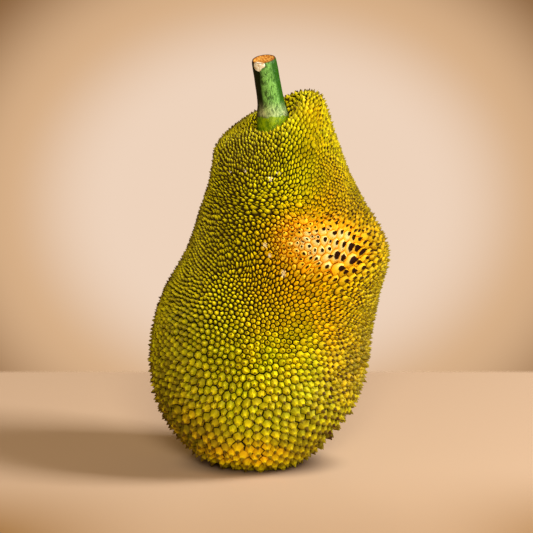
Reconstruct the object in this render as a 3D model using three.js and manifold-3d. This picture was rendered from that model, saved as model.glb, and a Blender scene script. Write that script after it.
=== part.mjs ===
// A whole jackfruit with its cut stalk, standing upright on a small flat spot.
//
// The fruit is one solid. Its body is an oval, lobed form with a hollow in the crown, and its rind is
// covered all over with blunt, many-sided spines, one standing in each cell of an even net of cells.
// The stalk is a second solid, a flared green stem that stands in the hollow, in a socket of its own.
//
// Millimetres, +Z up. The origin is the centre of the flat spot under the fruit. -Y is the front.

import * as THREE from "three";
import { ConvexHull } from "three/addons/math/ConvexHull.js";
import { mergeVertices } from "three/addons/utils/BufferGeometryUtils.js";
import Module from "manifold-3d";

// ---- Driving dimensions ----

// The body's level sections from the foot up over the crown and down into the stalk's hollow:
// height, left and right edge along X, front and back edge along Y.
const SECTIONS = [
  [-2, -5, -5, 0, 0],
  [1, -36, 31, -29, 33],
  [11, -62, 50, -51, 55],
  [33, -83, 71, -74, 76],
  [64, -101, 93, -92, 92],
  [100, -107, 105, -100, 100],
  [138, -103, 110, -100, 100],
  [176, -91, 117, -91, 96],
  [214, -72, 120, -82, 90],
  [252, -60, 103, -74, 78],
  [289, -51, 82, -66, 66],
  [321, -46, 68, -58, 58],
  [343, -41, 60, -48, 48],
  [354, -13, 44, -29, 28],
  [347, -5, 36, -21, 21],
  [337, -2, 33, -18, 18],
  [331, 15, 15, 0, 0],
];

// Lobes that swell the body where seeds filled out, and dips between them:
// azimuth in degrees from +X, height, how far it stands out, and its spread in degrees and in height.
const LOBES = [
  { azimuth: -97, height: 108, out: 8, spread: 38, rise: 50 },
  { azimuth: -38, height: 238, out: 18, spread: 25, rise: 32 },
  { azimuth: -88, height: 196, out: -10, spread: 26, rise: 30 },
  { azimuth: 130, height: 165, out: 9, spread: 38, rise: 45 },
  { azimuth: 55, height: 265, out: 5, spread: 30, rise: 30 },
  { azimuth: -90, height: 310, out: 3, spread: 35, rise: 25 },
];
const LOBES_FADE_RADIUS = 30; // the lobes die out in sections narrower than this, at foot and hollow

// The crown tips over: each side of its axis shears by a slope of its own, the slope bends from one to
// the other round the axis, and the shear grows from nothing to full between two heights.
const CROWN = { axisX: 13, left: 0.36, right: 0.6, front: 0.6, back: 0.2, bend: 15, from: 250, full: 350 };

// Spines: how far apart they stand on a real fruit at each height, and where they are larger.
const PITCH = [
  [0, 11.5],
  [30, 10.5],
  [58, 9.2],
  [80, 7.5],
  [110, 6.3],
  [135, 5.3],
  [180, 4.7],
  [300, 4.6],
  [372, 5.2],
];
const COARSE_PATCHES = [
  { azimuth: -58, height: 220, more: 4.6, spread: 15, rise: 22 },
  { azimuth: -20, height: 235, more: 2.2, spread: 20, rise: 30 },
];
const SPINE_COUNT = 1820; // fewer and larger than life, still covering the whole rind
const SPINE_RISE = { least: 2, perPitch: 0.27 }; // tip above the body, more where spines stand wider
const GROOVE_DEPTH = { least: 0.9, perPitch: 0.17 }; // groove between spines below the body, likewise
const GROOVE_FADE = [0.5, 7]; // heights between which the grooves die out, above the flat spot
const SPINE_FADE = [19, 26]; // distances from the stalk between which the spines grow, in the hollow

// Stalk: its foot, how far it leans for each millimetre of height once it is clear of the hollow, and
// its radius at heights above the foot. The cut end slopes down to the front and to the left.
const STALK_FOOT = { x: 16.5, y: 1, z: 325 };
const STALK_LEAN = { left: 0.18, front: 0.07, straightens: 20 };
const STALK_PROFILE = [
  [0, 17.5],
  [14, 17.5],
  [22, 16.9],
  [27, 16.1],
  [31, 15.1],
  [37, 13.8],
  [45, 13],
  [59, 12.7],
  [72, 12.4],
  [80, 12],
  [83, 11.3],
];
const STALK_SIDES = 28;
const CUT_SLOPE = { front: 0.29, left: 0.14 };
const SOCKET_GAP = 0.3; // clear space between stalk and fruit

// ---- The body's surface ----

const clamp01 = (x) => Math.min(Math.max(x, 0), 1);
const smoothStep = (from, to, x) => {
  const t = clamp01((x - from) / (to - from));
  return t * t * (3 - 2 * t);
};
const degreesApart = (a, b) => ((((a - b + 180) % 360) + 360) % 360) - 180;
const bell = (offset, width) => Math.exp(-0.5 * (offset / width) ** 2);
const bellAt = ({ azimuth, height, spread, rise }, degrees, z) =>
  bell(degreesApart(degrees, azimuth), spread) * bell(z - height, rise);

// Each section as height, centre and half-widths. A mirrored one beyond each end rounds the poles.
const ovals = SECTIONS.map(([z, left, right, front, back]) => [
  z,
  (left + right) / 2,
  (front + back) / 2,
  (right - left) / 2,
  (back - front) / 2,
]);
const mirrored = ([z, x, y, halfX, halfY]) => [z, x, y, -halfX, -halfY];
const ends = [mirrored(ovals[1]), ...ovals, mirrored(ovals[ovals.length - 2])];

// The section at a share of the way from foot to hollow, by a Catmull-Rom curve through the sections.
function sectionAt(share) {
  const along = clamp01(share) * (ovals.length - 1);
  const i = Math.min(Math.floor(along), ovals.length - 2);
  const t = along - i;
  const [p, q, r, s] = ends.slice(i, i + 4);
  return q.map(
    (_, k) =>
      0.5 *
      (2 * q[k] +
        (r[k] - p[k]) * t +
        (2 * p[k] - 5 * q[k] + 4 * r[k] - s[k]) * t * t +
        (3 * q[k] - p[k] - 3 * r[k] + s[k]) * t ** 3),
  );
}

// A line through 0 whose slope bends from one value to another round 0, as a hyperbola does.
function bent(x, below, above) {
  const bend = (above - below) / 2;
  return ((above + below) / 2) * x + bend * (Math.hypot(x, CROWN.bend) - CROWN.bend);
}

// The point of the body at a share of the way up and an azimuth in radians.
function bodyPoint(share, azimuth) {
  const [z, x, y, halfX, halfY] = sectionAt(share);
  const degrees = THREE.MathUtils.radToDeg(azimuth);
  let out = 0;
  for (const lobe of LOBES) out += lobe.out * bellAt(lobe, degrees, z);
  out *= smoothStep(0, LOBES_FADE_RADIUS, halfX);
  const px = x + (halfX + out) * Math.cos(azimuth);
  const py = y + (halfY + out) * Math.sin(azimuth);
  const tip = bent(px - CROWN.axisX, CROWN.left, CROWN.right) + bent(py, CROWN.front, CROWN.back);
  return new THREE.Vector3(px, py, z + tip * smoothStep(CROWN.from, CROWN.full, z));
}

const CHART_STEPS = 400;

// Latitudes on a unit sphere that carry the body's sections with the least stretch: as on a chart,
// a step of latitude over the cosine equals a step along the body over the section's radius.
function latitudeTable() {
  const shares = [];
  const chart = [];
  let sum = 0;
  for (let i = 1; i < CHART_STEPS; i++) {
    const [lowZ, , , lowX, lowY] = sectionAt((i - 0.5) / CHART_STEPS);
    const [highZ, , , highX, highY] = sectionAt((i + 0.5) / CHART_STEPS);
    const along = Math.hypot(highZ - lowZ, (highX + highY - lowX - lowY) / 2);
    const step = (4 * along) / (lowX + lowY + highX + highY);
    shares.push(i / CHART_STEPS);
    chart.push(sum + step / 2);
    sum += step;
  }
  const middle = chart[Math.floor(chart.length / 2)];
  const latitudes = chart.map((q) => 2 * Math.atan(Math.exp(q - middle)) - Math.PI / 2);
  return {
    shares: [0, ...shares, 1],
    latitudes: [-Math.PI / 2, ...latitudes, Math.PI / 2],
  };
}
const table = latitudeTable();

// Straight-line look-up of y at x, for rising xs.
function lookUp(x, xs, ys) {
  let low = 0;
  let high = xs.length - 1;
  while (high - low > 1) {
    const mid = (low + high) >> 1;
    if (xs[mid] <= x) low = mid;
    else high = mid;
  }
  const t = clamp01((x - xs[low]) / (xs[high] - xs[low]));
  return ys[low] + (ys[high] - ys[low]) * t;
}

const azimuthOf = (d) => Math.atan2(d.y, d.x);
const shareOf = (d) =>
  lookUp(Math.asin(THREE.MathUtils.clamp(d.z, -1, 1)), table.latitudes, table.shares);
const onBody = (d) => bodyPoint(shareOf(d), azimuthOf(d));
const direction = (share, azimuth) => {
  const latitude = lookUp(share, table.shares, table.latitudes);
  return new THREE.Vector3(
    Math.cos(latitude) * Math.cos(azimuth),
    Math.cos(latitude) * Math.sin(azimuth),
    Math.sin(latitude),
  );
};

// ---- Where the spines stand ----

// How far apart spines stand on a real fruit at this point.
function pitchAt(point, azimuth) {
  const [heights, pitches] = [PITCH.map((row) => row[0]), PITCH.map((row) => row[1])];
  let wide = lookUp(point.z, heights, pitches);
  for (const patch of COARSE_PATCHES)
    wide += patch.more * bellAt(patch, THREE.MathUtils.radToDeg(azimuth), point.z);
  return wide;
}

// A golden-angle spiral over the body, bent so that each spine gets the same share of the crowding:
// first along the shares, and within each share round the azimuths.
function spiral(count) {
  const ROWS = 240;
  const COLUMNS = 180;
  const rows = [];
  for (let i = 0; i < ROWS; i++) {
    const sums = [0];
    for (let j = 0; j < COLUMNS; j++) {
      const share = (i + 0.5) / ROWS;
      const azimuth = ((j + 0.5) / COLUMNS - 0.5) * 2 * Math.PI;
      const here = bodyPoint(share, azimuth);
      const up = bodyPoint(share + 0.5 / ROWS, azimuth).sub(
        bodyPoint(share - 0.5 / ROWS, azimuth),
      );
      const round = bodyPoint(share, azimuth + Math.PI / COLUMNS).sub(
        bodyPoint(share, azimuth - Math.PI / COLUMNS),
      );
      const crowding = up.cross(round).length() / pitchAt(here, azimuth) ** 2;
      sums.push(sums[j] + crowding);
    }
    rows.push(sums);
  }
  const upTo = [0];
  rows.forEach((sums, i) => upTo.push(upTo[i] + sums[COLUMNS]));
  const steps = (n) => Array.from({ length: n + 1 }, (_, i) => i / n);
  const rowSteps = steps(ROWS);
  const columnSteps = steps(COLUMNS);
  const golden = (Math.sqrt(5) - 1) / 2;
  return Array.from({ length: count }, (_, i) => {
    const share = lookUp(((i + 0.5) / count) * upTo[ROWS], upTo, rowSteps);
    const sums = rows[Math.min(Math.floor(share * ROWS), ROWS - 1)];
    const turn = lookUp(((i * golden) % 1) * sums[COLUMNS], sums, columnSteps);
    return direction(share, (turn - 0.5) * 2 * Math.PI);
  });
}

// The triangles that join neighbouring directions: the faces of their hull on the unit sphere.
function triangles(directions) {
  const index = new Map(directions.map((d, i) => [d, i]));
  const hull = new ConvexHull().setFromPoints(directions);
  return hull.faces.map((face) => {
    const edges = [face.edge, face.edge.next, face.edge.next.next];
    return edges.map((edge) => index.get(edge.head().point));
  });
}

// Spines that crowd push each other apart until each has the room that its pitch asks for.
function settle(directions) {
  const ROUNDS = 48;
  const CROWDED = 1.16; // how much more room than the mean each spine tries to hold
  const STEP = 0.16;
  let faces;
  for (let round = 0; round < ROUNDS; round++) {
    if (round % 4 === 0) faces = triangles(directions);
    const points = directions.map(onBody);
    const pitch = directions.map((d, i) => pitchAt(points[i], azimuthOf(d)));
    const edges = faces.flatMap((f) => f.map((a, k) => [a, f[(k + 1) % 3]])).filter(([a, b]) => a < b);
    let lengths = 0;
    let wanted = 0;
    for (const [a, b] of edges) {
      lengths += points[a].distanceToSquared(points[b]);
      wanted += ((pitch[a] + pitch[b]) / 2) ** 2;
    }
    const scale = CROWDED * Math.sqrt(lengths / wanted);
    const moves = directions.map(() => new THREE.Vector3());
    for (const [a, b] of edges) {
      const length = points[a].distanceTo(points[b]);
      const push = Math.max((scale * (pitch[a] + pitch[b])) / 2 / length - 1, 0) * STEP;
      const away = directions[b].clone().sub(directions[a]).multiplyScalar(push);
      moves[a].sub(away);
      moves[b].add(away);
    }
    directions.forEach((d, i) => d.add(moves[i]).normalize());
  }
  return directions;
}

// ---- The fruit ----

// The middle of the stalk at a height above its foot: upright at the foot, then leaning.
function stalkMiddle(height) {
  const { left, front, straightens } = STALK_LEAN;
  return new THREE.Vector2(
    STALK_FOOT.x - (left * height ** 2) / (height + straightens),
    STALK_FOOT.y - front * height,
  );
}

// How much of their height spines have at a point: none against the stalk, in the hollow.
function spineShare(point) {
  const height = point.z - STALK_FOOT.z;
  if (height < 0) return 1;
  const distance = stalkMiddle(height).distanceTo(new THREE.Vector2(point.x, point.y));
  return smoothStep(...SPINE_FADE, distance);
}

// The rind: each spine is a many-sided pyramid from its tip to the middles of the triangles round it,
// which lie in the grooves. What would reach below the flat spot is flattened to it.
function rindGeometry() {
  const directions = settle(spiral(SPINE_COUNT));
  const faces = triangles(directions);
  const grooves = faces.map(([a, b, c]) =>
    directions[a].clone().add(directions[b]).add(directions[c]).normalize(),
  );
  const tips = directions.map(onBody);
  const lows = grooves.map(onBody);
  const sides = new Map(); // each directed edge of a triangle, to that triangle
  faces.forEach(([a, b, c], face) => {
    for (const [from, to] of [[a, b], [b, c], [c, a]]) sides.set(from + "," + to, face);
  });
  const fans = []; // tip, groove, groove
  for (const [key, face] of sides) {
    const [from, to] = key.split(",").map(Number);
    fans.push([from, sides.get(to + "," + from), face]);
  }
  const tipNormals = tips.map(() => new THREE.Vector3());
  const lowNormals = lows.map(() => new THREE.Vector3());
  for (const [tip, first, second] of fans) {
    const normal = lows[first].clone().sub(tips[tip]).cross(lows[second].clone().sub(tips[tip]));
    tipNormals[tip].add(normal);
    lowNormals[first].add(normal);
    lowNormals[second].add(normal);
  }
  const height = ({ least, perPitch }, point, d) =>
    (least + perPitch * pitchAt(point, azimuthOf(d))) * spineShare(point);
  const raised = tips.map((p, i) =>
    p.clone().addScaledVector(tipNormals[i].normalize(), height(SPINE_RISE, p, directions[i])),
  );
  const sunk = lows.map((p, i) => {
    const depth = height(GROOVE_DEPTH, p, grooves[i]) * smoothStep(...GROOVE_FADE, p.z);
    return p.clone().addScaledVector(lowNormals[i].normalize(), -depth);
  });
  const vertices = [...raised, ...sunk];
  for (const p of vertices) p.z = Math.max(p.z, 0);
  const geometry = new THREE.BufferGeometry().setFromPoints(vertices);
  geometry.setIndex(fans.flatMap(([tip, first, second]) => [
    tip,
    tips.length + first,
    tips.length + second,
  ]));
  return geometry;
}

// ---- The stalk ----

// A flared stem, turned upright and then leant over, with a sloping cut end, grown by gap all round.
function stalkGeometry(gap) {
  const [, footRadius] = STALK_PROFILE[0];
  const [top, topRadius] = STALK_PROFILE[STALK_PROFILE.length - 1];
  const [rim] = STALK_PROFILE[STALK_PROFILE.length - 2];
  const profile = [
    new THREE.Vector2(0, -gap),
    new THREE.Vector2(footRadius + gap, -gap),
    ...STALK_PROFILE.slice(1, -1).map(([height, radius]) => new THREE.Vector2(radius + gap, height)),
    new THREE.Vector2(topRadius + gap, top + gap),
    new THREE.Vector2(0, top + gap),
  ];
  const geometry = new THREE.LatheGeometry(profile, STALK_SIDES).rotateX(Math.PI / 2);
  const place = geometry.getAttribute("position");
  for (let i = 0; i < place.count; i++) {
    const [x, y, height] = [place.getX(i), place.getY(i), place.getZ(i)];
    const cut = height < rim ? 0 : CUT_SLOPE.front * y + CUT_SLOPE.left * x;
    const middle = stalkMiddle(Math.max(height, 0));
    place.setXYZ(i, middle.x + x, middle.y + y, STALK_FOOT.z + height + cut);
  }
  return geometry;
}

// ---- Solids: the stalk's socket is cut out of the fruit ----

const wasm = await Module();
wasm.setup();

function solidOf(geometry) {
  const bare = geometry.clone();
  bare.deleteAttribute("normal");
  bare.deleteAttribute("uv");
  const merged = mergeVertices(bare, 1e-4);
  return new wasm.Manifold(
    new wasm.Mesh({
      numProp: 3,
      vertProperties: merged.getAttribute("position").array,
      triVerts: new Uint32Array(merged.index.array),
    }),
  );
}

function geometryOf(solid) {
  const mesh = solid.getMesh();
  const geometry = new THREE.BufferGeometry();
  geometry.setAttribute("position", new THREE.BufferAttribute(mesh.vertProperties, 3));
  geometry.setIndex(new THREE.BufferAttribute(mesh.triVerts, 1));
  return geometry;
}

const RIND = new THREE.MeshStandardMaterial({ color: 0xb8a516, roughness: 0.55, metalness: 0 });
const STALK = new THREE.MeshStandardMaterial({ color: 0x3f8a2a, roughness: 0.5, metalness: 0 });

const fruit = new THREE.Mesh(
  geometryOf(solidOf(rindGeometry()).subtract(solidOf(stalkGeometry(SOCKET_GAP)))),
  RIND,
);
fruit.name = "fruit";

const stalk = new THREE.Mesh(stalkGeometry(0), STALK);
stalk.name = "stalk";

const jackfruit = new THREE.Group();
jackfruit.add(fruit, stalk);

export default jackfruit;
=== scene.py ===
import math

import bpy
import numpy as np
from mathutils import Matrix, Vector
from mathutils.geometry import delaunay_2d_cdt


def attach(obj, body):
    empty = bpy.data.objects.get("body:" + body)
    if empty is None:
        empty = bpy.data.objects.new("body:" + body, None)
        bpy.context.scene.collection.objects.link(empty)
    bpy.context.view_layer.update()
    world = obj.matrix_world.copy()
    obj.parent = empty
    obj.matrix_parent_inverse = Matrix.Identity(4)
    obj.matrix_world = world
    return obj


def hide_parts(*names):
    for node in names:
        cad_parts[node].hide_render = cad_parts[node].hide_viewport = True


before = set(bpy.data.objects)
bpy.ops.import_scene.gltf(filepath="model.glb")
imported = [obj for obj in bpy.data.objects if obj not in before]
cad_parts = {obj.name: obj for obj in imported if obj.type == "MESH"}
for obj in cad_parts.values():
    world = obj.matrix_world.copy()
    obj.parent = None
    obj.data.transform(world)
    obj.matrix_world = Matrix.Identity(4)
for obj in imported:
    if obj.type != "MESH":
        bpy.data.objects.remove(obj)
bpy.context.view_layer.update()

# ======================================================================================================
# Rind
# The skin of the whole fruit and all its spines, one closed surface. A jackfruit is many flowers grown
# together: each spine is the end of one of them, so they fill the body like cells in a comb, a blunt
# pyramid in each, with thin dark grooves between. All sizes of the rind are in millimetres.
# ======================================================================================================

MM = 0.001

# Level sections from the foot over the crown and down into the stalk's hollow:
# height, left and right edge along X, front and back edge along Y.
SECTIONS = np.array([
    [-2, -5, -5, 0, 0],
    [1, -36, 31, -29, 33],
    [11, -62, 50, -51, 55],
    [33, -83, 71, -74, 76],
    [64, -101, 93, -92, 92],
    [100, -107, 105, -100, 100],
    [138, -103, 110, -100, 100],
    [176, -91, 117, -91, 96],
    [214, -72, 120, -82, 90],
    [252, -60, 103, -74, 78],
    [289, -51, 82, -66, 66],
    [321, -46, 68, -58, 58],
    [343, -41, 60, -48, 48],
    [354, -13, 44, -29, 28],
    [347, -5, 36, -21, 21],
    [337, -2, 33, -18, 18],
    [331, 15, 15, 0, 0],
], float)

# Lobes and dips: azimuth in degrees, height, how far out, spread in degrees, spread in height. They die
# out where the body is narrower than a radius, at its foot and in the hollow.
LOBES = np.array([
    [-97, 108, 8, 38, 50],
    [-38, 238, 18, 25, 32],
    [-88, 196, -10, 26, 30],
    [130, 165, 9, 38, 45],
    [55, 265, 5, 30, 30],
    [-90, 310, 3, 35, 25],
], float)
LOBES_FADE_RADIUS = 30

# The crown is tilted up to the right and the back: its slope on the left and right of its axis, in front
# and behind, how softly these meet, and the heights between which the tilt sets in.
CROWN_AXIS_X = 13
CROWN_LEFT, CROWN_RIGHT, CROWN_FRONT, CROWN_BACK = 0.36, 0.6, 0.6, 0.2
CROWN_BEND = 15
CROWN_FROM, CROWN_FULL = 250, 350


def smooth_step(low, high, x):
    """0 below low, 1 above high, and the cubic 3t^2 - 2t^3 between."""
    t = np.clip((x - low) / (high - low), 0, 1)
    return t * t * (3 - 2 * t)


def bell(offset, width):
    """exp(-(offset / width)^2 / 2)."""
    return np.exp(-0.5 * (offset / width) ** 2)


def degrees_apart(azimuth, degrees):
    """The signed angle from a bearing in degrees to an azimuth in radians, within half a turn."""
    return (np.degrees(azimuth) - degrees + 180) % 360 - 180


def bent(x, slope_below, slope_above):
    """A line through 0 whose slope bends from one value to another round 0, as a hyperbola does."""
    bend = (slope_above - slope_below) / 2
    return (slope_above + slope_below) / 2 * x + bend * (np.hypot(x, CROWN_BEND) - CROWN_BEND)


def body(share, azimuth):
    """A point of the body: the Catmull-Rom curve through the sections at a share of the way from foot
    to hollow gives an oval, which the lobes push out along its radius and the crown's tilt shears up.
    At both ends the curve runs on through the pole, where the oval's half widths change sign."""
    oval = np.stack([
        SECTIONS[:, 0],
        (SECTIONS[:, 1] + SECTIONS[:, 2]) / 2,
        (SECTIONS[:, 3] + SECTIONS[:, 4]) / 2,
        (SECTIONS[:, 2] - SECTIONS[:, 1]) / 2,
        (SECTIONS[:, 4] - SECTIONS[:, 3]) / 2,
    ], axis=1)
    through_the_pole = np.array([1, 1, 1, -1, -1])
    oval = np.vstack([oval[1] * through_the_pole, oval, oval[-2] * through_the_pole])
    along = np.clip(share, 0, 1) * (len(SECTIONS) - 1)
    i = np.minimum(along.astype(int), len(SECTIONS) - 2)
    t = (along - i)[..., None]
    p, q, r, s = oval[i], oval[i + 1], oval[i + 2], oval[i + 3]
    point = 0.5 * (
        2 * q + (r - p) * t + (2 * p - 5 * q + 4 * r - s) * t**2 + (3 * q - p - 3 * r + s) * t**3
    )
    z, x, y, half_x, half_y = np.moveaxis(point, -1, 0)
    out = 0
    for lobe_azimuth, height, amount, spread, rise in LOBES:
        out = out + amount * bell(degrees_apart(azimuth, lobe_azimuth), spread) * bell(z - height, rise)
    out = out * smooth_step(0, LOBES_FADE_RADIUS, half_x)
    x = x + (half_x + out) * np.cos(azimuth)
    y = y + (half_y + out) * np.sin(azimuth)
    tilt = bent(x - CROWN_AXIS_X, CROWN_LEFT, CROWN_RIGHT) + bent(y, CROWN_FRONT, CROWN_BACK)
    return np.stack([x, y, z + smooth_step(CROWN_FROM, CROWN_FULL, z) * tilt], axis=-1)


CHART_STEPS, CHART_SIDES = 600, 24


def chart():
    """Latitudes on a unit sphere that carry the body's rings with least stretch, as on a Mercator
    chart: a step of latitude over its cosine equals a step along the body over the ring's radius."""
    share = np.linspace(0, 1, CHART_STEPS + 1)
    azimuth = np.linspace(-math.pi, math.pi, CHART_SIDES, endpoint=False)
    ring = body(share[:, None], azimuth[None, :])
    middle = ring.mean(axis=1, keepdims=True)
    radius = np.linalg.norm((ring - middle)[..., :2], axis=-1).mean(axis=1)
    along = np.linalg.norm(np.diff(ring, axis=0), axis=-1).mean(axis=1)
    step = along / np.maximum((radius[1:] + radius[:-1]) / 2, 1e-6)
    distance = np.concatenate([[0], np.cumsum(step)])
    distance -= distance[CHART_STEPS // 2]
    latitude = 2 * np.arctan(np.exp(distance)) - math.pi / 2
    latitude[0], latitude[-1] = -math.pi / 2, math.pi / 2
    length = np.concatenate([[0], np.cumsum(along)])
    return share, latitude, length / length[-1]


SHARES, LATITUDES, LENGTHS = chart()


def on_sphere(share, azimuth):
    """The direction that stands for a place on the body."""
    latitude = np.interp(share, SHARES, LATITUDES)
    return np.stack([
        np.cos(latitude) * np.cos(azimuth),
        np.cos(latitude) * np.sin(azimuth),
        np.sin(latitude),
    ], axis=-1)


def place_of(direction):
    """The share and azimuth that a direction stands for."""
    direction = direction / np.linalg.norm(direction, axis=-1, keepdims=True)
    share = np.interp(np.arcsin(np.clip(direction[..., 2], -1, 1)), LATITUDES, SHARES)
    return share, np.arctan2(direction[..., 1], direction[..., 0])


# How far apart the spines stand at each height, and the patches where they are coarser: azimuth in
# degrees, height, how much wider, spread in degrees, spread in height.
PITCH_HEIGHTS = [0, 40, 55, 70, 95, 125, 140, 155, 185, 300, 372]
PITCHES = [12.5, 11.4, 10.5, 9.4, 7.6, 6.3, 5.6, 5.1, 4.4, 3.95, 4.8]
COARSE = np.array([
    [-58, 220, 4.6, 15, 22],
    [-20, 232, 3.6, 18, 20],
    [-15, 350, 1.0, 60, 22],
    [-160, 130, 1.5, 42, 45],
], float)


def pitch(point, azimuth):
    """How far apart spines stand at a point: by height, with a bell of more in each coarse patch."""
    wide = np.interp(point[..., 2], PITCH_HEIGHTS, PITCHES)
    for patch_azimuth, height, more, spread, rise in COARSE:
        near = bell(degrees_apart(azimuth, patch_azimuth), spread)
        wide = wide + more * near * bell(point[..., 2] - height, rise)
    return wide


CROWD_ROWS, CROWD_COLUMNS = 400, 360


def crowding():
    """How many spines the body carries in each cell of a grid of shares and azimuths: the cell's area
    over that of the hexagon that one spine fills."""
    share = np.linspace(0, 1, CROWD_ROWS + 1)
    azimuth = np.linspace(-math.pi, math.pi, CROWD_COLUMNS + 1)
    corner = body(share[:, None], azimuth[None, :])
    across = np.cross(corner[1:, 1:] - corner[:-1, :-1], corner[:-1, 1:] - corner[1:, :-1])
    area = np.linalg.norm(across, axis=-1) / 2
    middle = (corner[1:, 1:] + corner[:-1, :-1]) / 2
    hexagon = math.sqrt(3) / 2 * pitch(middle, (azimuth[1:] + azimuth[:-1])[None, :] / 2) ** 2
    return share, azimuth, area / hexagon


def spiral():
    """A golden-angle spiral of directions, one for each spine, bent so that every spine gets an equal
    share of the crowding, up the body and round it."""
    share, azimuth, crowd = crowding()
    count = int(round(crowd.sum()))
    number = np.arange(count)
    up_to = np.concatenate([[0], np.cumsum(crowd.sum(axis=1))])
    here = np.interp((number + 0.5) / count * up_to[-1], up_to, share)
    row = np.minimum((here * len(crowd)).astype(int), len(crowd) - 1)
    round_to = np.cumsum(crowd, axis=1)
    golden = (math.sqrt(5) - 1) / 2
    turn = number * golden % 1 * round_to[row, -1]
    column = (round_to[row] < turn[:, None]).sum(axis=1)
    direction = on_sphere(here, azimuth[np.minimum(column, crowd.shape[1] - 1)])
    direction[-1] = 0, 0, 1
    return direction


SAME_POINT = 1e-7


def triangles(direction):
    """The triangles between neighbouring directions, facing out. Seen from the last direction, which
    is the pole, the others lie on a plane, where they are Delaunay triangles; its rim joins the pole."""
    flat = direction[:-1, :2] / (1 - direction[:-1, 2:])
    made = delaunay_2d_cdt([Vector(co) for co in flat.tolist()], [], [], 0, SAME_POINT)
    faces = np.array(made[2])
    sides = np.vstack([faces[:, [0, 1]], faces[:, [1, 2]], faces[:, [2, 0]]])
    _, first, times = np.unique(np.sort(sides, axis=1), axis=0, return_index=True, return_counts=True)
    rim = sides[first[times == 1]]
    pole = np.full(len(rim), len(direction) - 1)
    faces = np.vstack([faces, np.column_stack([rim[:, 1], rim[:, 0], pole])])
    a, b, c = direction[faces].transpose(1, 0, 2)
    inward = np.einsum("ij,ij->i", np.cross(b - a, c - a), a + b + c) < 0
    faces[inward] = faces[inward][:, ::-1]
    return faces


# On the front the cells are drawn out, and their tips lean, away from where the belly faces forward:
# from and to these distances from it, and from behind the first Y to before the second.
FACING = np.array([-12, 0, 150])
AWAY_FROM, AWAY_FULL = 15, 75
AWAY_NONE_Y, AWAY_FULL_Y = 50, -10


def away(point):
    """The line in X and Z away from where the belly faces forward, and how strongly it acts at a point."""
    line = (point - FACING) * np.array([1, 0, 1])
    distance = np.linalg.norm(line, axis=-1, keepdims=True)
    strength = smooth_step(AWAY_FROM, AWAY_FULL, distance[..., 0])
    strength = strength * smooth_step(AWAY_NONE_Y, AWAY_FULL_Y, point[..., 1])
    return line / np.maximum(distance, 1), strength


# Settling: how often neighbours push, after how many pushes they are found anew, how far each push goes,
# and how much more room than there is they all want. Cells are drawn out more above some height.
RELAX_ROUNDS, RELAX_NEIGHBOURS = 64, 4
RELAX_STEP = 0.17
RELAX_CROWDED = 1.18
DRAWN_OUT_LOW, DRAWN_OUT_HIGH = 0.4, 0.76
DRAWN_LOW, DRAWN_HIGH = 150, 210


def settle(direction, size):
    """Pushes neighbours apart along the edges between them until each has the room its pitch times
    its own size asks for, a little more than there is, so that all press on each other evenly. A step
    along the line away counts as shorter than it is, so the cells end up drawn out along that line."""
    for number in range(RELAX_ROUNDS):
        if number % RELAX_NEIGHBOURS == 0:
            faces = triangles(direction)
            edges = np.vstack([faces[:, [0, 1]], faces[:, [1, 2]], faces[:, [2, 0]]])
            a, b = edges[edges[:, 0] < edges[:, 1]].T
        share, azimuth = place_of(direction)
        point = body(share, azimuth)
        wide = pitch(point, azimuth) * size
        gap = point[a] - point[b]
        line, strength = away(point[a])
        high = smooth_step(DRAWN_LOW, DRAWN_HIGH, point[a, 2])
        strength = strength * (DRAWN_OUT_LOW + (DRAWN_OUT_HIGH - DRAWN_OUT_LOW) * high)
        length = np.sqrt((gap**2).sum(axis=1) - strength * (gap * line).sum(axis=1) ** 2)
        wanted = (wide[a] + wide[b]) / 2
        scale = RELAX_CROWDED * math.sqrt((length**2).sum() / (wanted**2).sum())
        push = np.maximum(scale * wanted / length - 1, 0) * RELAX_STEP
        shove = (direction[b] - direction[a]) * push[:, None]
        for axis in range(3):
            direction[:, axis] += np.bincount(b, shove[:, axis], len(direction))
            direction[:, axis] -= np.bincount(a, shove[:, axis], len(direction))
        direction /= np.linalg.norm(direction, axis=1, keepdims=True)
        direction[-1] = 0, 0, 1
    return direction


# Each spine's profile, from the groove round its cell to its tip: rings at shares of the way out from
# its middle to its cell's corners, and the share of its height each stands at. Wider spines, from the
# pitch given first, have finer ones.
PROFILES = [
    (0, [(0.82, 0.3)]),
    (5.7, [(0.94, 0.27), (0.36, 0.62)]),
    (8, [(0.95, 0.27), (0.5, 0.5), (0.18, 0.82)]),
]

# How tall a spine stands, how much of that the groove is below the body, and the heights over which the
# grooves fade in above the flat foot.
SPINE_LEAST, SPINE_PER_PITCH = 0.5, 0.95
SPINE_BLUNTER, SPINE_WIDE = 0.4, 6
GROOVE_SHARE = 0.48
FOOT_FADE = (0.5, 7)

# Each spine's own size, height and lean, drawn at random, and the flank where they stand taller and lean
# more, between two distances to the right.
SIZE_SPREAD, SIZE_LIMITS = 0.12, (0.72, 1.35)
HEIGHT_SPREAD, HEIGHT_LIMITS = 0.12, (0.75, 1.3)
TIP_LEAN, TIP_LEAN_AWAY = 0.09, 0.52
RIGHT_FLANK = (40, 80)
RIGHT_TALLER, RIGHT_TIP_LEAN = 0.25, 0.16

# The stalk's line, for the hollow: its foot, its lean, and how near it spines are held down.
STALK_FOOT = np.array([15.6, 1, 325.5])
STALK_LEFT, STALK_FRONT, STALK_STRAIGHTENS = 0.18, 0.07, 20
STALK_CLEAR = (19, 26)


def stalk_middle(height):
    """The middle of the stalk at a height above its foot: x falls by 0.18 h^2 / (h + 20), y by 0.07 h."""
    x = STALK_FOOT[0] - STALK_LEFT * height**2 / (height + STALK_STRAIGHTENS)
    return np.stack([x, STALK_FOOT[1] - STALK_FRONT * height], axis=-1)


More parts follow.
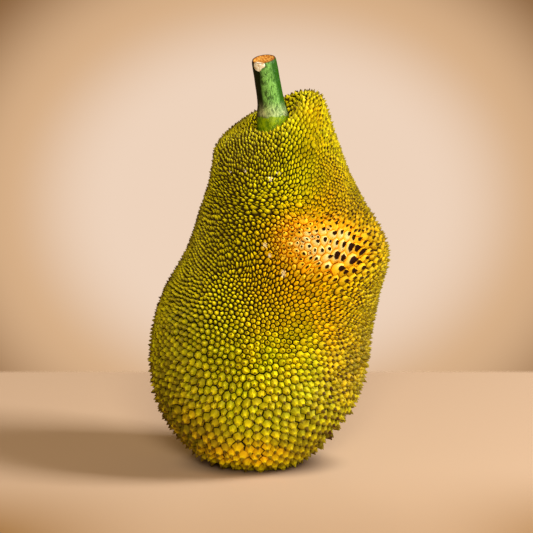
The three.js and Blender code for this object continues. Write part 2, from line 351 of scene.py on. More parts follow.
def grown(point):
    """How much of its height a spine has: all of it, but none against the stalk in the hollow."""
    height = point[..., 2] - STALK_FOOT[2]
    distance = np.linalg.norm(point[..., :2] - stalk_middle(np.maximum(height, 0)), axis=-1)
    return np.where(height < 0, 1, smooth_step(*STALK_CLEAR, distance))


def stands(pitch):
    """How tall a spine of a pitch stands, 0.5 + 0.95 pitch, less 0.4 of what the pitch is over 6."""
    return SPINE_LEAST + SPINE_PER_PITCH * pitch - SPINE_BLUNTER * np.maximum(pitch - SPINE_WIDE, 0)


def sum_by(values, index, count):
    """Adds rows of three values up by index."""
    return np.stack([np.bincount(index, values[:, k], count) for k in range(3)], axis=1)


def unit(vectors):
    """Each vector over its length."""
    return vectors / np.maximum(np.linalg.norm(vectors, axis=-1, keepdims=True), 1e-12)


rng = np.random.default_rng(7)
start = spiral()
spine_size = np.clip(rng.normal(1, SIZE_SPREAD, len(start)), *SIZE_LIMITS)
spines = settle(start, spine_size)
cells = triangles(spines)
count, corners = len(spines), len(cells)

# A side is a triangle's edge from one spine to its neighbour. Across it lies the side that runs back, and
# the next side round the first spine starts there. Every side owns one column of its spine's rings.
side_spine = cells.ravel()
side_face = np.repeat(np.arange(corners), 3)
toward = np.roll(cells, -1, axis=1).ravel()
forward = np.argsort(side_spine.astype(np.int64) * count + toward)
backward = np.argsort(toward.astype(np.int64) * count + side_spine)
across = np.empty(3 * corners, int)
across[forward] = backward
before = across - across % 3 + (across + 1) % 3

# A cell's corners are the middles of the triangles round its spine. The wedges between them and the spine
# give the ways out from the body, and their area the pitch, as that of a hexagon.
corner_direction = unit(spines[cells].sum(axis=1))
corner_point = body(*place_of(corner_direction))
spine_point = body(*place_of(spines))
wedge = np.cross(
    corner_point[side_face[before]] - spine_point[side_spine],
    corner_point[side_face] - spine_point[side_spine],
)
spine_normal = unit(sum_by(wedge, side_spine, count))
corner_normal = unit(sum_by(wedge, side_face, corners) + sum_by(wedge, side_face[before], corners))
area = np.bincount(side_spine, np.linalg.norm(wedge, axis=1) / 2, count)
spine_pitch = np.sqrt(area * 2 / math.sqrt(3))

on_right_flank = smooth_step(*RIGHT_FLANK, spine_point[:, 0])
spine_height = stands(spine_pitch) * grown(spine_point)
spine_height *= np.clip(rng.normal(1, HEIGHT_SPREAD, count), *HEIGHT_LIMITS)
spine_height *= 1 + RIGHT_TALLER * on_right_flank
line, strength = away(spine_point)
strength = strength * (TIP_LEAN_AWAY + RIGHT_TIP_LEAN * on_right_flank)
lean = rng.normal(0, TIP_LEAN, (count, 3)) + strength[:, None] * line
lean *= spine_pitch[:, None]
lean -= np.einsum("ij,ij->i", lean, spine_normal)[:, None] * spine_normal

corner_depth = GROOVE_SHARE * stands(spine_pitch[cells].mean(axis=1))
corner_depth *= grown(corner_point) * smooth_step(*FOOT_FADE, corner_point[:, 2])
groove = corner_point - corner_depth[:, None] * corner_normal
middle = spine_point - (GROOVE_SHARE * spine_height)[:, None] * spine_normal
tip = middle + spine_height[:, None] * spine_normal + lean

# The points: the corners in the grooves, then for each kind of spine its rings, and the tips last. Each
# has its share of the spine's height, its ring's level, its spine, or -1, and its direction.
TIP_LEVEL = 9
kind = np.digitize(spine_pitch, [least for least, _ in PROFILES[1:]])
columns = np.bincount(kind[side_spine], minlength=len(PROFILES))
tips_start = corners + sum(len(rings) * columns[k] for k, (_, rings) in enumerate(PROFILES))
blocks = [(groove, np.zeros(corners), np.zeros(corners), np.full(corners, -1), corner_direction)]
quads, threes = [], []
ring_start = corners
for k, (_, rings) in enumerate(PROFILES):
    sides = np.flatnonzero(kind[side_spine] == k)
    column = np.full(3 * corners, -1)
    column[sides] = np.arange(len(sides))
    spine = side_spine[sides]
    outer = side_face[sides]
    outer_before = side_face[before[sides]]
    to_corner = groove[outer] - middle[spine]
    to_corner_direction = corner_direction[outer] - spines[spine]
    for level, (out, up) in enumerate(rings, 1):
        blocks.append((
            middle[spine] + out * to_corner + up * (tip[spine] - middle[spine]),
            np.full(len(sides), up),
            np.full(len(sides), level),
            spine,
            spines[spine] + out * to_corner_direction,
        ))
        inner = ring_start + column[sides]
        inner_before = ring_start + column[before[sides]]
        quads.append(np.column_stack([outer_before, outer, inner, inner_before]))
        outer, outer_before = inner, inner_before
        ring_start += len(sides)
    threes.append(np.column_stack([outer_before, outer, tips_start + spine]))
blocks.append((tip, np.ones(count), np.full(count, TIP_LEVEL), np.arange(count), spines))
points, rise, levels, owner, directions = map(np.concatenate, zip(*blocks))
points[:, 2] = np.maximum(points[:, 2], 0)


def mesh_of(name, points, polygons):
    """A piece from points in metres and blocks of polygons, of one number of corners in each block."""
    mesh = bpy.data.meshes.new(name)
    corner = np.concatenate([block.ravel() for block in polygons])
    sizes = np.concatenate([np.full(len(block), block.shape[1]) for block in polygons])
    mesh.vertices.add(len(points))
    mesh.vertices.foreach_set("co", np.ascontiguousarray(points, np.float32).ravel())
    mesh.loops.add(len(corner))
    mesh.loops.foreach_set("vertex_index", corner.astype(np.int32))
    mesh.polygons.add(len(sizes))
    mesh.polygons.foreach_set("loop_start", (np.cumsum(sizes) - sizes).astype(np.int32))
    mesh.update(calc_edges=True)
    mesh.validate()
    piece = bpy.data.objects.new(name, mesh)
    bpy.context.collection.objects.link(piece)
    return piece


rind = mesh_of("rind", points * MM, [np.concatenate(quads), np.concatenate(threes)])

# Sharp along a spine's ridges and in the grooves, smooth where a side turns from one ring to the next.
ends = np.empty(2 * len(rind.data.edges), np.int32)
rind.data.edges.foreach_get("vertices", ends)
one_end, other_end = levels[ends.reshape(-1, 2)].T
sharp = (one_end != other_end) | (one_end == 0)
rind.data.attributes.new("sharp_edge", "BOOLEAN", "EDGE").data.foreach_set("value", sharp)

# The bake's own map: round the body by azimuth and up it by length along the surface. A polygon that
# crosses the seam behind runs on into the strip kept free beyond it.
MAP_WIDTH, MAP_MARGIN = 0.965, 0.005
SEAM_TURN = 0.75

share, azimuth = place_of(unit(directions))
around = (azimuth / (2 * math.pi) + SEAM_TURN) % 1
upward = np.interp(share, SHARES, LENGTHS)
corner_of = np.empty(len(rind.data.loops), np.int32)
rind.data.loops.foreach_get("vertex_index", corner_of)
polygon_start = np.empty(len(rind.data.polygons), np.int32)
rind.data.polygons.foreach_get("loop_start", polygon_start)
polygon_size = np.diff(np.append(polygon_start, len(corner_of)))
turns = around[corner_of]
turns = turns - np.round(turns - np.repeat(around[corner_of[polygon_start]], polygon_size))
turns = turns + np.repeat(np.minimum.reduceat(turns, polygon_start) < 0, polygon_size)
uv = MAP_MARGIN + np.column_stack([MAP_WIDTH * turns, (1 - 2 * MAP_MARGIN) * upward[corner_of]])
layer = rind.data.uv_layers.new(name="OFBake")
layer.data.foreach_set("uv", np.clip(uv, 0, 1).astype(np.float32).ravel())


def attribute(piece, name, values):
    """Stores one number for each point."""
    piece.data.attributes.new(name, "FLOAT", "POINT").data.foreach_set("value", values.astype(np.float32))


attribute(rind, "rise", rise)
cell = rng.random(count)
attribute(rind, "cell", np.where(owner < 0, 0.5, cell[owner]))

# How brown each spine's tip is: at the sides, where the skin's outward Y passes from one value to another,
# on the right and low down; less at the right edge; and at random. The brown also reaches further down the
# spine at the sides, and partly so on the right, where it is partly the tips' own brown and partly painted
# shade in the hollows beside them.
TIPS_ASIDE, TIPS_RIGHT = (-0.42, -0.05), (25, 65)
TIPS_LOW, TIPS_LOW_SHARE = (190, 140), 0.9
TIPS_MEAN, TIPS_SPREAD = 0.9, 0.2
TIPS_EDGE, TIPS_EDGE_LESS = (0.7, 0.95), 0.25
RIGHT_REACH = 0.6

turned_aside = smooth_step(*TIPS_ASIDE, spine_normal[:, 1])
on_the_right = smooth_step(*TIPS_RIGHT, spine_point[:, 0])
low_down = TIPS_LOW_SHARE * smooth_step(*TIPS_LOW, spine_point[:, 2])
brown_tips = np.maximum(np.maximum(turned_aside, low_down), on_the_right)
brown_tips *= np.clip(rng.normal(TIPS_MEAN, TIPS_SPREAD, count), 0, 1)
brown_tips *= 1 - TIPS_EDGE_LESS * smooth_step(*TIPS_EDGE, spine_normal[:, 0])
# How far down the brown goes: the tips' own brown, and partly painted shade beside them.
brown_and_shade_reach = np.maximum(turned_aside, RIGHT_REACH * on_the_right)
attribute(rind, "tips", np.where(owner < 0, 0, brown_tips[owner]))
attribute(rind, "aside", np.where(owner < 0, 0, brown_and_shade_reach[owner]))

# The marks on the rind, each a share that holds everywhere and bells on the front that add to it: x,
# height, the two widths and how much. Shade is painted shade, which also grows towards the foot; its bells
# below zero take some off. Dusk sets in higher up: where it is set the grooves' painted shade extends
# higher and more softly, and below zero they are painted lighter.
FRONT_Y = (25, -25)
SHADE_ALL, SHADE_FOOT, SHADE_FOOT_Z = 0.12, 0.3, (14, 2)
DUSK_HIGH, DUSK_Z = 0.65, (120, 230)
MARKS = {
    "gold": (0.14, [
        (50, 190, 42, 38, 0.45), (8, 195, 22, 25, 0.3), (35, 240, 22, 18, 0.85),
        (85, 272, 28, 40, 0.35), (96, 110, 22, 45, 0.4), (118, 236, 12, 25, 0.4),
        (-18, 22, 50, 15, 0.5), (-82, 50, 25, 25, 0.5), (60, 370, 30, 18, 0.3),
    ]),
    "pale": (0, [(77, 230, 22, 19, 1.1), (40, 238, 23, 19, 0.75)]),
    "scar": (0, [(91, 219, 16, 17, 1), (60, 231, 30, 20, 0.4)]),
    "latex": (0, [
        (10, 296, 3, 1.8, 1), (18, 301, 2, 1.6, 1), (5, 234, 2, 2.4, 1), (10, 223, 1.6, 2, 1),
        (23, 206, 2, 3, 1), (-14, 302, 1.3, 1.3, 1), (-29, 300, 1, 1, 1),
    ]),
    # Painted shade: bells below zero take some off.
    "shade": (SHADE_ALL + SHADE_FOOT * smooth_step(*SHADE_FOOT_Z, points[:, 2]), [
        (-90, 60, 35, 45, 0.5), (-34, 330, 35, 30, 0.6), (-50, 235, 28, 32, 0.6),
        (105, 80, 25, 60, 0.4), (122, 140, 16, 50, 0.3), (60, 185, 40, 45, -0.12),
        (50, 280, 35, 60, -0.2), (-98, 110, 18, 80, 0.25), (-86, 215, 20, 60, 0.42),
        (-58, 300, 22, 50, 0.15), (-56, 25, 28, 20, 0.4), (-16, 22, 24, 12, -0.25),
        (55, 24, 30, 18, 0.5), (8, 188, 18, 18, 0.25), (-60, 140, 25, 25, 0.15),
        (45, 60, 25, 25, 0.15), (2, 322, 28, 18, 0.42), (100, 268, 20, 28, 0.3),
        (96, 262, 12, 14, 0.1), (96, 125, 18, 30, 0.2), (38, 90, 28, 22, 0.12),
    ]),
    # How far up and how softly the grooves' painted shade reaches; below zero it paints them lighter.
    "dusk": (DUSK_HIGH * smooth_step(*DUSK_Z, points[:, 2]), [
        (-10, 180, 45, 30, 0.2), (-25, 285, 50, 50, 0.25), (72, 231, 38, 26, -0.6),
        (60, 362, 34, 34, -0.95), (50, 284, 26, 30, -0.36), (70, 180, 34, 30, -0.14),
        (-11, 228, 22, 18, -0.15),
    ]),
}
on_front = smooth_step(*FRONT_Y, points[:, 1])
for mark, (total, bells) in MARKS.items():
    for x, z, wide, tall, amount in bells:
        total = total + amount * bell(points[:, 0] - x, wide) * bell(points[:, 2] - z, tall) * on_front
    attribute(rind, mark, total)


class Socket:
    """A shader socket that takes part in Python sums. Each sum adds a Math node."""

    def __init__(self, finish, socket):
        self.finish, self.socket = finish, socket

    def math(self, operation, *others):
        """One Math node on this socket and the others."""
        return self.finish.math(operation, self, *others)

    def __add__(self, other):
        return self.math("ADD", other)

    def __sub__(self, other):
        return self.math("SUBTRACT", other)

    def __rsub__(self, other):
        return self.finish.math("SUBTRACT", other, self)

    def __mul__(self, other):
        return self.math("MULTIPLY", other)

    def __truediv__(self, other):
        return self.math("DIVIDE", other)

    def __rtruediv__(self, other):
        return self.finish.math("DIVIDE", other, self)

    def __abs__(self):
        return self.math("ABSOLUTE")

    __radd__, __rmul__ = __add__, __mul__

    def step(self, low, high):
        """0 below low, 1 above high, and a smooth step between."""
        smooth = {"interpolation_type": "SMOOTHSTEP"}
        return self.finish.node(
            "ShaderNodeMapRange", settings=smooth, Value=self, From_Min=low, From_Max=high)


class Finish:
    """The node tree of a material or world, with one method that makes any node."""

    def __init__(self, owner):
        owner.use_nodes = True
        self.owner, self.tree = owner, owner.node_tree
        self.tree.nodes.clear()

    def node(self, kind, *values, settings=None, output=0, **named):
        """A node of a kind, with its settings set first. Values or sockets then go to its inputs, in
        order or by name. Gives one of its outputs, if it has any."""
        node = self.tree.nodes.new(kind)
        for name, value in (settings or {}).items():
            setattr(node, name, value)
        inputs = list(zip(node.inputs, values))
        for name, value in named.items():
            wanted = name.replace("_", " ")
            slots = (slot for slot in node.inputs if slot.name == wanted and slot.enabled)
            inputs.append((next(slots), value))
        for slot, value in inputs:
            if isinstance(value, Socket):
                self.tree.links.new(value.socket, slot)
            elif slot.type == "RGBA":
                slot.default_value = (*value, 1)
            else:
                slot.default_value = value
        return Socket(self, node.outputs[output]) if node.outputs else None

    def math(self, operation, *values):
        """A Math node on values and sockets."""
        return self.node("ShaderNodeMath", *values, settings={"operation": operation})

    def place(self):
        """Object coordinates."""
        return self.node("ShaderNodeTexCoord", output=3)

    def axes(self, vector):
        """The three numbers of a vector."""
        first = self.node("ShaderNodeSeparateXYZ", vector)
        return [Socket(self, output) for output in first.socket.node.outputs]

    def stored(self, *names):
        """The numbers stored for each point under some names."""
        return [
            self.node("ShaderNodeAttribute", settings={"attribute_name": name}, output=2)
            for name in names
        ]

    def mix(self, share, low, high):
        """The colour at a share of the way from low to high."""
        colours = {"data_type": "RGBA"}
        return self.node("ShaderNodeMix", settings=colours, output=2, Factor=share, A=low, B=high)


def srgb(red, green, blue):
    """A colour as seen on a screen, 0 to 255, as the linear numbers that shaders take."""
    values = np.array([red, green, blue]) / 255
    return tuple(np.where(values <= 0.04045, values / 12.92, ((values + 0.055) / 1.055) ** 2.4))


# The colours of a spine's foot and upper part, unripe and ripe, of painted shade on it, and in the pale
# patch; of the painted shade in the grooves, plain, ripe, where dusk is set, painted lighter, and in the
# pale patch; of the tips and the dot on them; and of sap.
FOOT_GREEN, FOOT_RIPE = srgb(186, 193, 0), srgb(252, 180, 0)
UPPER_GREEN, UPPER_RIPE = srgb(250, 243, 4), srgb(255, 218, 0)
IN_SHADE = srgb(108, 98, 0)
PALE_FOOT, PALE_UPPER, PALEST = srgb(255, 194, 0), srgb(255, 218, 52), srgb(255, 250, 180)
GROOVE_SHADE, GROOVE_RIPE, GROOVE_DUSK_SHADE = srgb(14, 12, 1), srgb(50, 22, 2), srgb(58, 44, 6)
GROOVE_PAINTED_LIGHT, GROOVE_PALE = srgb(150, 108, 10), srgb(186, 104, 2)
TIP_BROWN, TIP_DUSK, TIP_DOT = srgb(58, 30, 2), srgb(66, 46, 14), srgb(44, 14, 4)
LATEX_WHITE = srgb(248, 238, 206)

skin = Finish(bpy.data.materials.new("jackfruit_skin"))
height, which, gold, pale, dusk, scar, tips, aside, latex, shade = skin.stored(
    "rise", "cell", "gold", "pale", "dusk", "scar", "tips", "aside", "latex", "shade")
skin_place = skin.place()
blotch = skin.node("ShaderNodeTexNoise", Vector=skin_place, Scale=30.0, Detail=3.0)
grain = skin.node("ShaderNodeTexNoise", Vector=skin_place, Scale=700.0, Detail=4.0)

# A spine's face: greener and darker at its foot and lighter yellow above, painted shade low on the spine
# and a painted highlight on its upper part; riper in blotches, each spine a little different; darker with
# painted shade, most on its lower part, and dull at random; and orange to cream in the pale patch, lighter
# above, the cream partly the patch's own pallor and partly a painted highlight.
ripe = gold + (blotch - 0.5) * 0.55 + (which - 0.5) * 0.16
rough_height = height + (grain - 0.5) * 0.16 + (which - 0.5) * 0.1
# Painted shade at a spine's foot and a painted highlight on its upper part.
foot = skin.mix(ripe.step(0, 0.9), FOOT_GREEN, FOOT_RIPE)
upper = skin.mix(ripe.step(-0.1, 0.9), UPPER_GREEN, UPPER_RIPE)
face = skin.mix(rough_height.step(0.3, 0.75), foot, upper)
# Painted shade, most on a spine's lower part, and dull tone at random.
dull_and_painted_shade = (which * 7.3).math("FRACT").step(0, 1) * 0.35 + shade * (1 - 0.5 * height.step(0.35, 0.8))
face = skin.mix(dull_and_painted_shade, face, IN_SHADE)
# Orange to cream in the pale patch; the cream partly a painted highlight.
pale_upper = skin.mix((pale + (which - 0.5) * 0.16).step(0.75, 1.1), PALE_UPPER, PALEST)
pale_face = skin.mix(height.step(0.2, 0.55), PALE_FOOT, pale_upper)
face = skin.mix((pale + (which - 0.5) * 0.4).step(0.2, 0.8), face, pale_face)

# The grooves: painted shade up to a fifth of the spine's height, in tones that follow the ripe skin and
# the pale patch; it extends higher and more softly where dusk is set, and the grooves are painted lighter
# where dusk is below zero.
groove_shade = skin.mix(ripe.step(0.3, 1), GROOVE_SHADE, GROOVE_RIPE)
groove_shade = skin.mix(dusk.step(0.2, 0.8), groove_shade, GROOVE_DUSK_SHADE)
groove_shade = skin.mix((dusk * -1).step(0, 0.35), groove_shade, GROOVE_PAINTED_LIGHT)
groove_shade = skin.mix(pale.step(0.25, 0.7), groove_shade, GROOVE_PALE)
above_ground = height - 0.21 - dusk * 0.14 + pale * 0.08 - (grain - 0.5) * 0.06
ground_edge = 0.12 + dusk * 0.2 - pale * 0.06
surface = skin.mix((above_ground / ground_edge).step(0, 1), groove_shade, face)

# The tips: brown from some two thirds of the height up, and further down at the sides and on the right,
# where that brown is partly painted shade; with a darker dot on top where the skin is pale or ripe and a
# larger one where it is scarred. The specks of dried latex lie over all.
tip_colour = skin.mix(dusk.step(0.2, 0.6), TIP_BROWN, TIP_DUSK)
browned = (height - 0.63 + aside * 0.13 + (grain - 0.5) * 0.12).step(0, 0.11) * tips
surface = skin.mix(browned, surface, tip_colour)
dot = (height - 0.86 + pale.step(0.1, 0.7) * 0.22 + scar * 0.26 - which * 0.1).step(0, 0.06)
surface = skin.mix(dot * (pale + gold * 0.6).step(0.2, 0.5), surface, TIP_DOT)
surface = skin.mix((latex + (grain - 0.5) * 1.4).step(0.5, 0.65), surface, LATEX_WHITE)
skin.node("ShaderNodeOutputMaterial", Surface=skin.node(
    "ShaderNodeBsdfPrincipled",
    Base_Color=surface,
    Roughness=0.5 + 0.2 * grain,
    Normal=skin.node("ShaderNodeBump", Height=grain, Strength=0.2, Distance=0.0005),
    Specular_IOR_Level=0.15,
))
rind.data.materials.append(skin.owner)

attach(rind, "root")
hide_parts("fruit")

# ======================================================================================================
# Stalk
# The green stem the fruit hung from, cut off short: flared where it grows into the hollow, dusty with
# bloom along its front, and brown on the cut. In millimetres above its foot, like its line above.
# ======================================================================================================

# The stalk's radius at heights above its foot. The cut slopes down to the front and the left, which sets
# in between two heights, and is dished.
STALK_PROFILE = np.array([
    [0, 17.5], [14, 17.5], [22, 16.9], [27, 16.1], [31, 15.1], [37, 13.8], [45, 13.1], [59, 12.8],
    [72, 12.5], [79, 12.2], [81.6, 11.9], [83, 11.2],
])
STALK_RINGS, STALK_SIDES = 110, 96
CUT_FRONT, CUT_LEFT = 0.29, 0.14
SLANT_FROM, SLANT_FULL = 64, 79
CUT_RINGS = 9
CUT_DISH = 0.9


def stalk_point(radius, bearing, above_foot):
    """A point at a radius and bearing round the stalk's line. Towards the cut it is raised by 0.29 y
    and 0.14 x, as measured from the line."""
    x, y = radius * np.cos(bearing), radius * np.sin(bearing)
    slant = smooth_step(SLANT_FROM, SLANT_FULL, above_foot) * (CUT_FRONT * y + CUT_LEFT * x)
    line = stalk_middle(above_foot)
    return np.stack([line[..., 0] + x, line[..., 1] + y, STALK_FOOT[2] + above_foot + slant], axis=-1)


def closed_tube(rings, sides):
    """Polygons that close a stack of rings of points: quads between two rings, and a fan at each end to
    a point that follows all the rings, the first end's and then the last's."""
    number = np.arange(rings * sides).reshape(rings, sides)
    beside = np.roll(number, -1, axis=1)
    bands = np.stack([number[:-1], beside[:-1], beside[1:], number[1:]], axis=-1).reshape(-1, 4)
    middle = np.full(sides, rings * sides)
    first_fan = np.stack([beside[0], number[0], middle], axis=-1)
    last_fan = np.stack([number[-1], beside[-1], middle + 1], axis=-1)
    return [bands, np.vstack([first_fan, last_fan])]


# The radius is a little uneven, by sines round the stalk and up it. The rings then shrink across the cut.
up = np.linspace(0, STALK_PROFILE[-1, 0], STALK_RINGS)[:, None]
turn = np.linspace(0, 2 * math.pi, STALK_SIDES, endpoint=False)[None, :]
radius = np.interp(up, STALK_PROFILE[:, 0], STALK_PROFILE[:, 1])
radius = radius + 0.16 * np.sin(3 * turn + 0.6 + up / 60) + 0.08 * np.sin(8 * turn + 2 + up / 35)
radius = radius + 0.1 * np.sin(17 * turn - up / 25) * np.sin(up / 4.1 + 2 * turn)
across_cut = np.linspace(1, 0, CUT_RINGS + 1)[1:-1, None]
radius = np.vstack([radius, radius[-1:] * across_cut])
dish = np.concatenate([np.zeros(STALK_RINGS), -CUT_DISH * (1 - across_cut[:, 0] ** 4)])
up = np.vstack([up, np.full((CUT_RINGS - 1, 1), up[-1, 0])])
stem = stalk_point(radius, turn, up)
stem[..., 2] += dish[:, None]
ring_count = len(stem)
stem = np.vstack([stem.reshape(-1, 3), STALK_FOOT, stem[-1].mean(axis=0)])
stalk = mesh_of("stem", stem * MM, closed_tube(ring_count, STALK_SIDES))

# For each point: how much it faces the front and the right, whether it is on the cut, how far in from
# its rim, and its height above the foot. The two ends' middle points follow.
FRONT_BEARING, RIGHT_BEARING = math.radians(-83), math.radians(-20)
bearings = np.tile(turn[0], ring_count)
on_cut = np.repeat(np.arange(ring_count) >= STALK_RINGS - 1, STALK_SIDES).astype(float)
from_rim = np.repeat(np.concatenate([np.zeros(STALK_RINGS), 1 - across_cut[:, 0]]), STALK_SIDES)
attribute(stalk, "facing", np.append(0.5 + 0.5 * np.cos(bearings - FRONT_BEARING), [0, 0]))
attribute(stalk, "rightward", np.append(0.5 + 0.5 * np.cos(bearings - RIGHT_BEARING), [0, 0]))
attribute(stalk, "cut", np.append(on_cut, [0, 1]))
attribute(stalk, "from_rim", np.append(from_rim, [0, 1]))
attribute(stalk, "above", np.append(np.repeat(up[:, 0], STALK_SIDES), [0, STALK_PROFILE[-1, 0]]))

# Colours of the stalk's painted shade on its left side, its painted light on its right side and the bloom
# on it, of the chalky ring over the collar, of the collar, and of the cut's rim and wood.
SHADED_SIDE, LIT_SIDE, BLOOM = srgb(14, 24, 3), srgb(34, 84, 0), srgb(122, 178, 82)
CHALK = srgb(206, 214, 156)
COLLAR, COLLAR_LIGHT = srgb(84, 120, 0), srgb(140, 168, 0)
CUT_RIM, WOOD, WOOD_LIGHT = srgb(96, 52, 20), srgb(178, 104, 34), srgb(238, 178, 84)

bark = Finish(bpy.data.materials.new("stalk_skin"))
facing, rightward, cut_share, rim_share, above = bark.stored(
    "facing", "rightward", "cut", "from_rim", "above")
bark_place = bark.place()
drawn_out = bark.node("ShaderNodeMapping", Vector=bark_place, Rotation=(0, 0.35, 0), Scale=(1, 1, 0.4))
streaks = bark.node("ShaderNodeTexNoise", Vector=drawn_out, Scale=420.0, Detail=5.0)
wrinkles = bark.node("ShaderNodeTexNoise", Vector=drawn_out, Scale=460.0, Detail=2.0, Distortion=1.2)
clouds = bark.node("ShaderNodeTexNoise", Vector=bark_place, Scale=90.0, Detail=3.0)
fibres = bark.node("ShaderNodeTexNoise", Vector=bark_place, Scale=520.0, Detail=4.0)

# Green with painted shade on the left and painted light on the right, under a mottled band of bloom down
# the front, a chalky ring, and the yellow-green collar at the foot. The cut is wood with short fibres, and
# dark at its rim.
green = bark.mix(rightward.step(0.45, 1), SHADED_SIDE, LIT_SIDE)
mottle = (wrinkles * 1.8 + clouds * 0.8 + streaks * 0.8 - 1.7).step(-0.3, 0.3)
half_way = (above - 25).step(0, 8) * (74 - above).step(0, 26)
band = (facing + half_way * 0.06).step(0.9, 1)
green = bark.mix(band * (0.14 + mottle * 0.86), green, BLOOM)
chalky = (above - 24).step(0, 5) * (44 - above).step(0, 16) * facing.step(0.5, 0.9)
green = bark.mix(chalky * (0.15 + mottle * 0.55), green, CHALK)
over_collar = (above - 27 + (clouds - 0.5) * 12).step(-0.8, 0.8)
green = bark.mix(over_collar, bark.mix(mottle, COLLAR, COLLAR_LIGHT), green)
wood = bark.mix(fibres.step(0.4, 0.62), WOOD, WOOD_LIGHT)
wood = bark.mix((rim_share + (fibres - 0.5) * 0.1).step(0.02, 0.16), CUT_RIM, wood)
relief = wrinkles * 0.6 + streaks + fibres * cut_share
bark.node("ShaderNodeOutputMaterial", Surface=bark.node(
    "ShaderNodeBsdfPrincipled",
    Base_Color=bark.mix(cut_share.step(0.2, 0.8), green, wood),
    Roughness=0.45 + 0.22 * cut_share,
    Normal=bark.node("ShaderNodeBump", Height=relief, Strength=0.7, Distance=0.0012),
    Specular_IOR_Level=0.2,
))
stalk.data.materials.append(bark.owner)

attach(stalk, "root")
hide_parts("stalk")

# ======================================================================================================
# Latex
# The dab of sap that ran from the cut over the rim and dried on the stalk, a low cushion with a lobed
# outline. Its underside lies inside the stalk. In millimetres.
# ======================================================================================================

# Where round the stalk and how high its middle lies, half its size along both, how far it stands out and
# in, and the height from which the skin under it runs inward over the cut.
DAB_BEARING, DAB_ABOVE = math.radians(-119), 80.9
DAB_HALF_ANGLE, DAB_HALF_HEIGHT = math.radians(30), 5.8
DAB_THICK, DAB_SUNK = 0.9, 0.8
STALK_RIM = 82.6
DAB_RINGS, DAB_SIDES = 12, 64
DOME = 0.999


def on_stalk(bearing, above_foot, lift):
    """A point at a bearing round the stalk and a height above its foot, lifted off its skin. Above the
    rim the skin runs on inward over the cut."""
    over = np.maximum(above_foot - STALK_RIM, 0)
    up = np.minimum(above_foot, STALK_RIM)
    radius = np.interp(up, STALK_PROFILE[:, 0], STALK_PROFILE[:, 1]) - over + lift * (over == 0)
    point = stalk_point(radius, bearing, up)
    point[..., 2] += lift * smooth_step(0, 1, over)
    return point


# Rings from the middle of the underside out to the rim and back to the middle of the top. At r of the way
# out each lies sqrt(1 - 0.999 r^2) of its depth off the skin, so that they stay a hair apart at the rim.
out = np.sin(np.linspace(0, math.pi / 2, DAB_RINGS + 1)[1:])[:, None]
turn = np.linspace(0, 2 * math.pi, DAB_SIDES, endpoint=False)[None, :]
lobed = 1 + 0.14 * np.sin(3 * turn + 0.8) + 0.08 * np.sin(5 * turn + 2.4)
bearing = DAB_BEARING + DAB_HALF_ANGLE * out * lobed * np.cos(turn)
above_foot = DAB_ABOVE + DAB_HALF_HEIGHT * out * lobed * np.sin(turn)
dome = np.sqrt(1 - DOME * out**2)
lumps = 1 + 0.3 * np.sin(7 * bearing + 0.5 * above_foot) * np.sin(0.9 * above_foot - 4 * bearing)
top = on_stalk(bearing, above_foot, DAB_THICK * dome * lumps)
under = on_stalk(bearing, above_foot, -DAB_SUNK * dome)
dab = mesh_of("latex", MM * np.vstack([
    under[:-1].reshape(-1, 3),
    top[::-1].reshape(-1, 3),
    on_stalk(DAB_BEARING, DAB_ABOVE, -DAB_SUNK),
    on_stalk(DAB_BEARING, DAB_ABOVE, DAB_THICK),
]), closed_tube(2 * DAB_RINGS - 1, DAB_SIDES))

sap = Finish(bpy.data.materials.new("dried_latex"))
clots = sap.node("ShaderNodeTexNoise", Vector=sap.place(), Scale=330.0, Detail=3.0)
sap.node("ShaderNodeOutputMaterial", Surface=sap.node(
    "ShaderNodeBsdfPrincipled",
    Base_Color=sap.mix(clots.step(0.4, 0.62), srgb(206, 178, 140), srgb(248, 240, 224)),
    Roughness=0.45,
    Normal=sap.node("ShaderNodeBump", Height=clots, Strength=0.6, Distance=0.0008),
))
dab.data.materials.append(sap.owner)

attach(dab, "root")

# ======================================================================================================
# Floor
# A matt board that the fruit stands on, painted in one plain tone, with painted shade towards its near
# corners and a painted contact shadow under the fruit. Its edge fades away, so that it has no line against
# the wall. In metres.
# ======================================================================================================

FLOOR_SIZE, FLOOR_EDGE = 0.922, 0.022
# The board's tone, painted shade for its near corners, and a painted contact shadow under the fruit.
BOARD, BOARD_CORNER_SHADE, BOARD_CONTACT_SHADOW = srgb(201, 175, 152), srgb(145, 109, 64), srgb(66, 44, 25)

bpy.ops.mesh.primitive_plane_add(size=FLOOR_SIZE)
floor = bpy.context.object
floor.name = "floor"

paint = Finish(bpy.data.materials.new("floor_paint"))
along_x, along_y, _ = paint.axes(paint.place())
inside_edge = FLOOR_SIZE / 2 - abs(along_x).math("MAXIMUM", abs(along_y))
# Painted shade towards the near corners, and a painted contact shadow round the fruit's foot.
painted_corner_shade = (abs(along_x - 0.03).step(0.1, 0.34) + 0.35) * (along_y * -1).step(0, 0.36)
off_contact_shadow = (along_x * along_x + along_y * along_y * 1.6).math("SQRT").step(0.03, 0.095)
board = paint.mix(painted_corner_shade, BOARD, BOARD_CORNER_SHADE)
paint.node("ShaderNodeOutputMaterial", Surface=paint.node(
    "ShaderNodeBsdfPrincipled",
    Base_Color=paint.mix(off_contact_shadow, BOARD_CONTACT_SHADOW, board),
    Roughness=0.8,
    Specular_IOR_Level=0.0,
    Alpha=inside_edge.step(0, FLOOR_EDGE),
))
floor.data.materials.append(paint.owner)

# ======================================================================================================
# Wall and lights
# A plain wall with a painted pool of light behind the fruit and painted shade towards its edges, and a
# faint warm fill from all round. A soft box on the right is the main light, one in front opens the
# shadows, and a low one behind lights the back alone: neither the camera nor a glossy skin sees it.
# ======================================================================================================

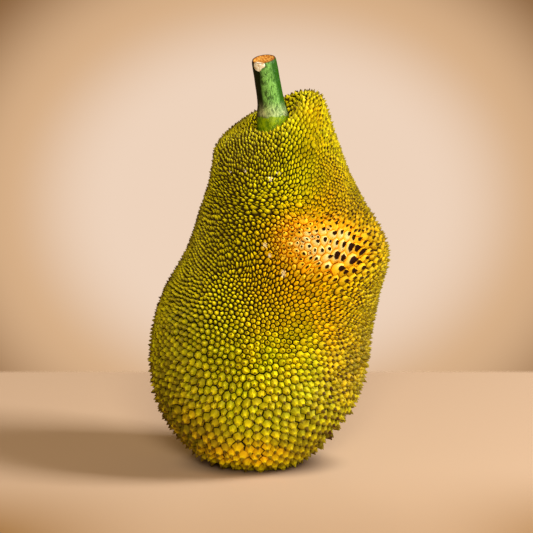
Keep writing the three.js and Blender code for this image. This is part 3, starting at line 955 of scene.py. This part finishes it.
# The wall's painted pool of light, its plain tone, and the painted shade at its edges.
WALL_GLOW, WALL_TONE, WALL_EDGE_SHADE = srgb(238, 211, 188), srgb(216, 176, 136), srgb(132, 94, 58)
WALL_MIDDLE_Z = -0.127
GLOW_HALF_WIDTH, GLOW_HALF_HEIGHT = 0.23854, 0.09
FILL, FILL_STRENGTH = srgb(255, 203, 130), 0.2

# The glow, a painted pool of light, is an oval round the direction of sight. The product of x and y makes
# it come back at every quarter of a turn, so that a view from the side has it too.
sky = Finish(bpy.data.worlds.new("studio"))
bpy.context.scene.world = sky.owner
x, y, z = sky.axes(sky.place())
sideways = x * y * 2
sideways = (sideways - 0.006 + sideways * sideways * sideways * 1.2) / GLOW_HALF_WIDTH
lift = (z - WALL_MIDDLE_Z) / GLOW_HALF_HEIGHT
off_middle = sideways * sideways + lift * lift
wall = sky.mix(off_middle.step(0.35, 1.15), WALL_GLOW, WALL_TONE)
wall = sky.mix(off_middle.step(1, 2.4), wall, WALL_EDGE_SHADE)
seen = sky.node("ShaderNodeLightPath")
fill = sky.node("ShaderNodeBackground", Color=FILL, Strength=FILL_STRENGTH)
backdrop = sky.node("ShaderNodeBackground", Color=wall, Strength=1.0)
sky.node("ShaderNodeOutputWorld", Surface=sky.node("ShaderNodeMixShader", seen, fill, backdrop))

LIGHTS_AIM = Vector((0, 0, 0.2))


def soft_light(name, place, size, power, colour):
    """A square soft box of a size in metres at a place, turned to the middle of the fruit."""
    light = bpy.data.lights.new(name, "AREA")
    light.size, light.energy, light.color = size, power, colour
    box = bpy.data.objects.new(name, light)
    box.location = place
    box.rotation_euler = (LIGHTS_AIM - Vector(place)).to_track_quat("-Z", "Y").to_euler()
    bpy.context.collection.objects.link(box)
    return box


soft_light("key", (3.1, -0.9, 2.4), 1.35, 210, srgb(255, 251, 244))
soft_light("front", (0.2, -4.4, 1.9), 1.3, 192, srgb(255, 240, 210))
behind = soft_light("behind", (-0.7, 2.9, 0.22), 0.7, 46, srgb(255, 246, 228))
behind.visible_camera = False
behind.visible_glossy = False

# ======================================================================================================
# Camera
# It stands in front, a little above the fruit's middle, and looks slightly down. The lens is set so that
# a square view holds a given half width, in metres, at the fruit.
# ======================================================================================================

EYE_DISTANCE, EYE_ELEVATION = 2.2, math.radians(9)
LOOK_AT = Vector((0.0065, 0, 0.201))
HALF_VIEW = 0.2665
SENSOR_WIDTH = 36

camera = bpy.data.objects.new("camera", bpy.data.cameras.new("camera"))
bpy.context.collection.objects.link(camera)
back = Vector((0, -math.cos(EYE_ELEVATION), math.sin(EYE_ELEVATION)))
camera.location = LOOK_AT + EYE_DISTANCE * back
camera.rotation_euler = back.to_track_quat("Z", "Y").to_euler()
camera.data.sensor_width = SENSOR_WIDTH
camera.data.lens = SENSOR_WIDTH / 2 * EYE_DISTANCE / HALF_VIEW
bpy.context.scene.camera = camera
bpy.context.scene.view_settings.view_transform = "Standard"
